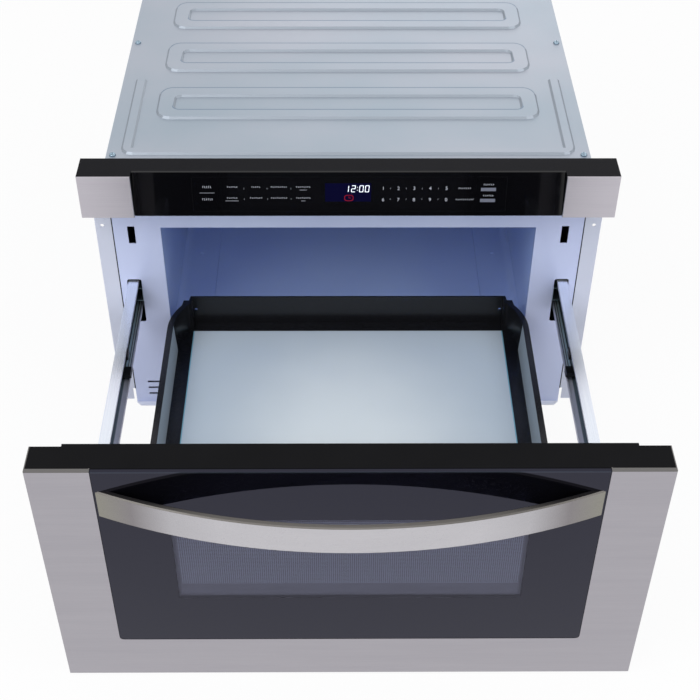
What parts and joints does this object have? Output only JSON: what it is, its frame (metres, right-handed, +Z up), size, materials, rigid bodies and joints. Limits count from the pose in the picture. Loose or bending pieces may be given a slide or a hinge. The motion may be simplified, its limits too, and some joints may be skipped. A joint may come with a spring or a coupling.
{
  "type": "microwave drawer",
  "caption": "Built-in microwave drawer: steel-cased cavity, touch control panel above, and a powered glass-floored drawer on telescopic rails behind a bowed handle.",
  "frame": {"origin": "underside of the base, on the middle line, in the plane of the cabinet's front face", "axes": "+X to the right seen from the front, +Y from the front to the back, +Z up; the drawer opens along -Y"},
  "size_m": [0.607, 1.003, 0.384],
  "materials": {
    "brushed_steel": "brushed along its length",
    "black_glass": "polished, dark tinted",
    "control_glass": "polished, back printed black",
    "black_moulding": "fine moulded texture",
    "tray_moulding": "satin",
    "galvanised": "zinc coated, dull",
    "white_enamel": "smooth white paint",
    "zinc_rail": "bright zinc",
    "tray_glass": "polished, pale blue grey",
    "side_glass": "polished",
    "screen": "black paint",
    "acetal": "moulded, natural",
    "mica": "smooth sheet",
    "circuit": "solder mask",
    "machined": "pressed and turned",
    "laminations": "varnished laminations",
    "screw_steel": "plated"
  },
  "bodies": {
    "cabinet": {"base_pan": "galvanised", "top_cover": "galvanised", "left_side_panel": "galvanised", "right_side_panel": "galvanised", "back_panel": "galvanised", "rail_brackets": "galvanised", "motor_bracket": "galvanised", "front_panel": "white_enamel", "left_mounting_flange": "white_enamel", "right_mounting_flange": "white_enamel", "cavity_floor": "white_enamel", "left_cavity_wall": "white_enamel", "right_cavity_wall": "white_enamel", "cavity_roof": "white_enamel", "cavity_back": "white_enamel", "stirrer_cover": "mica", "cavity_lamp": "acetal", "control_housing": "black_moulding", "fan_shroud": "black_moulding", "cord_gland": "black_moulding", "interlock_switches": "black_moulding", "control_glass": "control_glass", "left_end_cap": "brushed_steel", "right_end_cap": "brushed_steel", "control_board": "circuit", "cover_screws": "screw_steel", "waveguide": "machined", "magnetron": "machined", "hv_capacitor": "machined", "fan_motor": "machined", "stirrer_motor": "machined", "drive_motor": "machined", "hv_transformer": "laminations", "fixed_rails": "zinc_rail"},
    "drawer": {"drawer_frame": "brushed_steel", "handle": "brushed_steel", "drawer_glass": "black_glass", "top_trim": "black_moulding", "inner_door_panel": "black_moulding", "window_screen": "screen", "wave_trap": "screen", "handle_screws": "screw_steel", "left_rail_arm": "zinc_rail", "right_rail_arm": "zinc_rail", "tray_frame": "tray_moulding", "tray_floor_glass": "tray_glass", "tray_side_glass": "side_glass", "drive_rack": "acetal", "latch_hooks": "acetal"},
    "left_middle_slide": {"left_middle_rail": "zinc_rail", "left_bumper": "black_moulding"},
    "right_middle_slide": {"right_middle_rail": "zinc_rail", "right_bumper": "black_moulding"},
    "left_outer_rollers": {"left_outer_cage": "zinc_rail"},
    "right_outer_rollers": {"right_outer_cage": "zinc_rail"},
    "left_inner_rollers": {"left_inner_cage": "zinc_rail"},
    "right_inner_rollers": {"right_inner_cage": "zinc_rail"},
    "pinion": {"drive_pinion": "acetal"},
    "fan": {"fan_blade": "black_moulding"},
    "stirrer": {"stirrer_fan": "machined"}
  },
  "joints": [
    {"name": "drawer_slide", "type": "slide", "parent": "cabinet", "child": "drawer", "axis": [0, -1, 0], "range_m": [-0.386, 0]},
    {"name": "left_middle_slide_run", "type": "slide", "parent": "cabinet", "child": "left_middle_slide", "axis": [0, -1, 0], "range_m": [-0.193, 0]},
    {"name": "right_middle_slide_run", "type": "slide", "parent": "cabinet", "child": "right_middle_slide", "axis": [0, -1, 0], "range_m": [-0.193, 0]},
    {"name": "left_outer_rollers_run", "type": "slide", "parent": "cabinet", "child": "left_outer_rollers", "axis": [0, -1, 0], "range_m": [-0.2895, 0]},
    {"name": "right_outer_rollers_run", "type": "slide", "parent": "cabinet", "child": "right_outer_rollers", "axis": [0, -1, 0], "range_m": [-0.2895, 0]},
    {"name": "left_inner_rollers_run", "type": "slide", "parent": "cabinet", "child": "left_inner_rollers", "axis": [0, -1, 0], "range_m": [-0.0965, 0]},
    {"name": "right_inner_rollers_run", "type": "slide", "parent": "cabinet", "child": "right_inner_rollers", "axis": [0, -1, 0], "range_m": [-0.0965, 0]},
    {"name": "pinion_spin", "type": "hinge", "parent": "cabinet", "child": "pinion", "pos_m": [0, 0.045, 0.062], "axis": [1, 0, 0], "range_deg": [-1231, 0]},
    {"name": "fan_spin", "type": "hinge", "parent": "cabinet", "child": "fan", "pos_m": [-0.15, 0.505, 0.25], "axis": [0, 1, 0], "continuous": true},
    {"name": "stirrer_spin", "type": "hinge", "parent": "cabinet", "child": "stirrer", "pos_m": [0, 0.206, 0.295], "axis": [0, 0, 1], "continuous": true}
  ],
  "couplings": [
    {"joint": "left_middle_slide_run", "follows": "drawer_slide", "ratio": 0.5},
    {"joint": "right_middle_slide_run", "follows": "drawer_slide", "ratio": 0.5},
    {"joint": "left_outer_rollers_run", "follows": "drawer_slide", "ratio": 0.75},
    {"joint": "right_outer_rollers_run", "follows": "drawer_slide", "ratio": 0.75},
    {"joint": "left_inner_rollers_run", "follows": "drawer_slide", "ratio": 0.25},
    {"joint": "right_inner_rollers_run", "follows": "drawer_slide", "ratio": 0.25},
    {"joint": "pinion_spin", "follows": "drawer_slide", "rad_per_m": 55.556}
  ]
}
